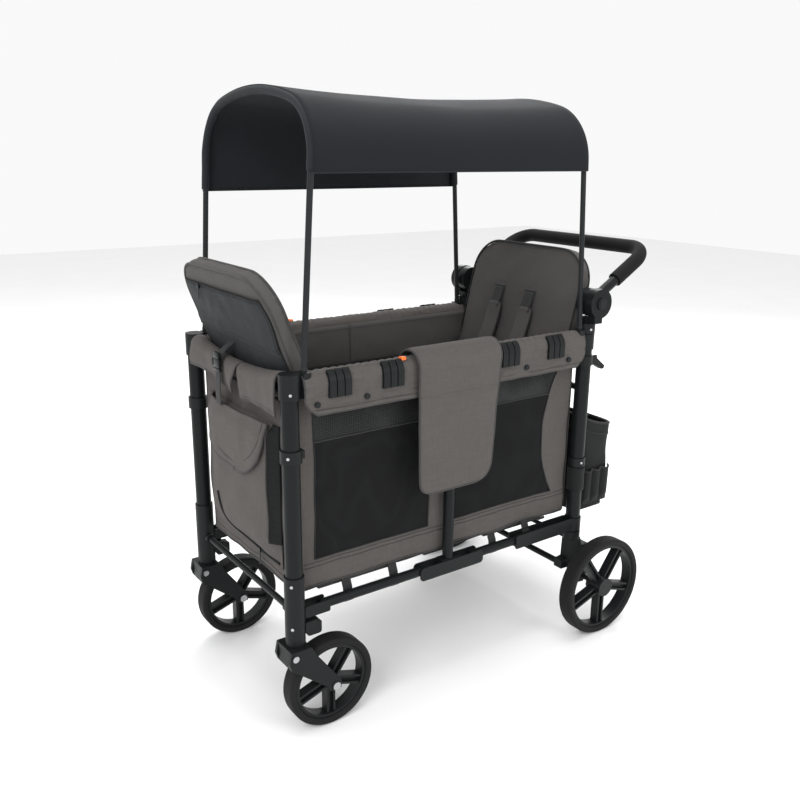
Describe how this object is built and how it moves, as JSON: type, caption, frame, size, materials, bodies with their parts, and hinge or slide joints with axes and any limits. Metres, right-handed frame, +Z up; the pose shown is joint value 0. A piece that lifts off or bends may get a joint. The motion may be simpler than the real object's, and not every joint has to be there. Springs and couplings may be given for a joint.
{
  "type": "folding stroller wagon",
  "caption": "Folding fabric wagon on caster and rear wheels, with facing padded seats, an arched canopy, a rear storage basket and a hinged U-shaped push and pull handle.",
  "frame": {"origin": "on the ground, midway between the four corner posts", "axes": "+Z up, +Y towards the handle end, +X to the side with the padded flap"},
  "size_m": [0.644, 1.0732, 1.318],
  "materials": {
    "frame_metal": "satin",
    "black_plastic": "matte",
    "rim_plastic": "satin",
    "tyre": "matte",
    "steel": "satin",
    "grey_fabric": "woven",
    "seat_fabric": "woven",
    "black_fabric": "woven",
    "canopy_cloth": "woven",
    "foam_grip": "foam",
    "hoop_metal": "satin",
    "floor_board": "matte"
  },
  "bodies": {
    "front_frame": {"front_posts": "frame_metal", "front_post_trims": "black_plastic", "front_feet": "black_plastic", "front_cross_tubes": "frame_metal", "front_cover": "grey_fabric", "front_panel": "grey_fabric", "front_pocket": "grey_fabric", "front_side_panels": "grey_fabric", "front_seat_base": "seat_fabric"},
    "front_lower_rails": {"front_lower_rails": "frame_metal", "front_floor": "floor_board"},
    "mid_frame": {"mid_posts": "frame_metal", "mid_brackets": "black_plastic", "mid_floor": "floor_board", "mid_rail_covers": "grey_fabric", "side_flap": "grey_fabric"},
    "rear_lower_rails": {"rear_lower_rails": "frame_metal", "rear_floor": "floor_board"},
    "rear_frame": {"rear_posts": "frame_metal", "rear_collars": "black_plastic", "rear_corner_brackets": "black_plastic", "rear_legs": "black_plastic", "rear_cross_tubes": "frame_metal", "rear_panel": "grey_fabric", "rear_side_panels": "grey_fabric", "basket": "black_fabric", "rear_seat_base": "seat_fabric"},
    "front_upper_rails": {"front_upper_rails": "frame_metal", "front_rail_covers": "grey_fabric", "front_rail_clips": "black_plastic"},
    "rear_upper_rails": {"rear_upper_rails": "frame_metal", "rear_rail_covers": "grey_fabric", "rear_rail_clips": "black_plastic"},
    "brake": {"brake_bar": "frame_metal"},
    "handle_stem": {"handle_stems": "frame_metal"},
    "handle": {"handle_bow": "frame_metal", "handle_grip": "foam_grip"},
    "front_canopy": {"front_hoop": "hoop_metal", "canopy_fabric": "canopy_cloth"},
    "rear_canopy": {"rear_hoop": "hoop_metal"},
    "front_seat": {"front_seat_back": "seat_fabric"},
    "rear_seat": {"rear_seat_back": "seat_fabric"},
    "swivel_lock_left": {"swivel_lock_left": "black_plastic"},
    "caster_left": {"caster_fork_left": "black_plastic", "caster_bolts_left": "steel"},
    "front_wheel_left": {"front_rim_left": "rim_plastic", "front_tyre_left": "tyre"},
    "rear_wheel_left": {"rear_rim_left": "rim_plastic", "rear_tyre_left": "tyre"},
    "clamp_lever_left": {"clamp_lever_left": "black_plastic"},
    "handle_button_left": {"handle_button_left": "rim_plastic"},
    "swivel_lock_right": {"swivel_lock_right": "black_plastic"},
    "caster_right": {"caster_fork_right": "black_plastic", "caster_bolts_right": "steel"},
    "front_wheel_right": {"front_rim_right": "rim_plastic", "front_tyre_right": "tyre"},
    "rear_wheel_right": {"rear_rim_right": "rim_plastic", "rear_tyre_right": "tyre"},
    "clamp_lever_right": {"clamp_lever_right": "black_plastic"},
    "handle_button_right": {"handle_button_right": "rim_plastic"}
  },
  "joints": [
    {"name": "fold", "type": "hinge", "parent": "front_frame", "child": "front_lower_rails", "pos_m": [0, -0.34, 0.285], "axis": [1, 0, 0], "range_deg": [0, 72], "deforming": ["front_side_panels", "rear_side_panels", "front_rail_covers", "rear_rail_covers", "mid_rail_covers", "side_flap", "canopy_fabric", "front_seat_base", "rear_seat_base"]},
    {"name": "fold_middle", "type": "hinge", "parent": "front_lower_rails", "child": "mid_frame", "pos_m": [0, -0.078, 0.285], "axis": [1, 0, 0], "range_deg": [-72, 0]},
    {"name": "fold_rear_rails", "type": "hinge", "parent": "mid_frame", "child": "rear_lower_rails", "pos_m": [0, 0.066, 0.285], "axis": [1, 0, 0], "range_deg": [-72, 0]},
    {"name": "fold_rear_frame", "type": "hinge", "parent": "rear_lower_rails", "child": "rear_frame", "pos_m": [0, 0.328, 0.285], "axis": [1, 0, 0], "range_deg": [0, 72]},
    {"name": "fold_front_upper", "type": "hinge", "parent": "front_frame", "child": "front_upper_rails", "pos_m": [0, -0.352, 0.765], "axis": [1, 0, 0], "range_deg": [0, 72]},
    {"name": "fold_rear_upper", "type": "hinge", "parent": "rear_frame", "child": "rear_upper_rails", "pos_m": [0, 0.34, 0.765], "axis": [1, 0, 0], "range_deg": [-72, 0]},
    {"name": "swivel_left", "type": "hinge", "parent": "front_frame", "child": "caster_left", "pos_m": [-0.226, -0.404, 0.2], "axis": [0, 0, 1], "continuous": true},
    {"name": "front_roll_left", "type": "hinge", "parent": "caster_left", "child": "front_wheel_left", "pos_m": [-0.226, -0.327, 0.1016], "axis": [1, 0, 0], "continuous": true},
    {"name": "rear_roll_left", "type": "hinge", "parent": "rear_frame", "child": "rear_wheel_left", "pos_m": [-0.299, 0.44, 0.127], "axis": [1, 0, 0], "continuous": true},
    {"name": "swivel_lock_left", "type": "hinge", "parent": "front_frame", "child": "swivel_lock_left", "pos_m": [-0.226, -0.368, 0.25], "axis": [1, 0, 0], "range_deg": [0, 18]},
    {"name": "clamp_left", "type": "hinge", "parent": "rear_frame", "child": "clamp_lever_left", "pos_m": [-0.226, 0.432, 0.712], "axis": [1, 0, 0], "range_deg": [0, 80]},
    {"name": "button_left", "type": "slide", "parent": "handle_stem", "child": "handle_button_left", "axis": [1, 0, 0], "range_m": [0, 0.004], "stiffness_N_per_m": 400},
    {"name": "swivel_right", "type": "hinge", "parent": "front_frame", "child": "caster_right", "pos_m": [0.226, -0.404, 0.2], "axis": [0, 0, 1], "continuous": true},
    {"name": "front_roll_right", "type": "hinge", "parent": "caster_right", "child": "front_wheel_right", "pos_m": [0.226, -0.327, 0.1016], "axis": [1, 0, 0], "continuous": true},
    {"name": "rear_roll_right", "type": "hinge", "parent": "rear_frame", "child": "rear_wheel_right", "pos_m": [0.299, 0.44, 0.127], "axis": [1, 0, 0], "continuous": true},
    {"name": "swivel_lock_right", "type": "hinge", "parent": "front_frame", "child": "swivel_lock_right", "pos_m": [0.226, -0.368, 0.25], "axis": [1, 0, 0], "range_deg": [0, 18]},
    {"name": "clamp_right", "type": "hinge", "parent": "rear_frame", "child": "clamp_lever_right", "pos_m": [0.226, 0.432, 0.712], "axis": [1, 0, 0], "range_deg": [0, 80]},
    {"name": "button_right", "type": "slide", "parent": "handle_stem", "child": "handle_button_right", "axis": [-1, 0, 0], "range_m": [0, 0.004], "stiffness_N_per_m": 400},
    {"name": "stem_slide", "type": "slide", "parent": "rear_frame", "child": "handle_stem", "axis": [0, 0, 1], "range_m": [0, 0.06]},
    {"name": "handle_hinge", "type": "hinge", "parent": "handle_stem", "child": "handle", "pos_m": [0, 0.412, 0.853], "axis": [1, 0, 0], "range_deg": [-70, 50]},
    {"name": "brake_tilt", "type": "hinge", "parent": "rear_frame", "child": "brake", "pos_m": [0, 0.455, 0.205], "axis": [1, 0, 0], "range_deg": [-25, 0]},
    {"name": "front_recline", "type": "hinge", "parent": "front_frame", "child": "front_seat", "pos_m": [0, -0.248, 0.49], "axis": [1, 0, 0], "range_deg": [-20, 0]},
    {"name": "rear_recline", "type": "hinge", "parent": "rear_frame", "child": "rear_seat", "pos_m": [0, 0.32, 0.49], "axis": [1, 0, 0], "range_deg": [0, 14]},
    {"name": "canopy_front_slide", "type": "slide", "parent": "front_frame", "child": "front_canopy", "axis": [0, 0, 1], "range_m": [0, 0.022]},
    {"name": "canopy_rear_slide", "type": "slide", "parent": "rear_frame", "child": "rear_canopy", "axis": [0, 0, 1], "range_m": [0, 0.022]}
  ],
  "couplings": [
    {"joint": "fold_middle", "follows": "fold", "ratio": -1},
    {"joint": "fold_rear_rails", "follows": "fold", "ratio": -1},
    {"joint": "fold_rear_frame", "follows": "fold", "ratio": 1},
    {"joint": "fold_front_upper", "follows": "fold", "ratio": 1},
    {"joint": "fold_rear_upper", "follows": "fold", "ratio": -1},
    {"joint": "canopy_rear_slide", "follows": "canopy_front_slide", "ratio": 1}
  ]
}
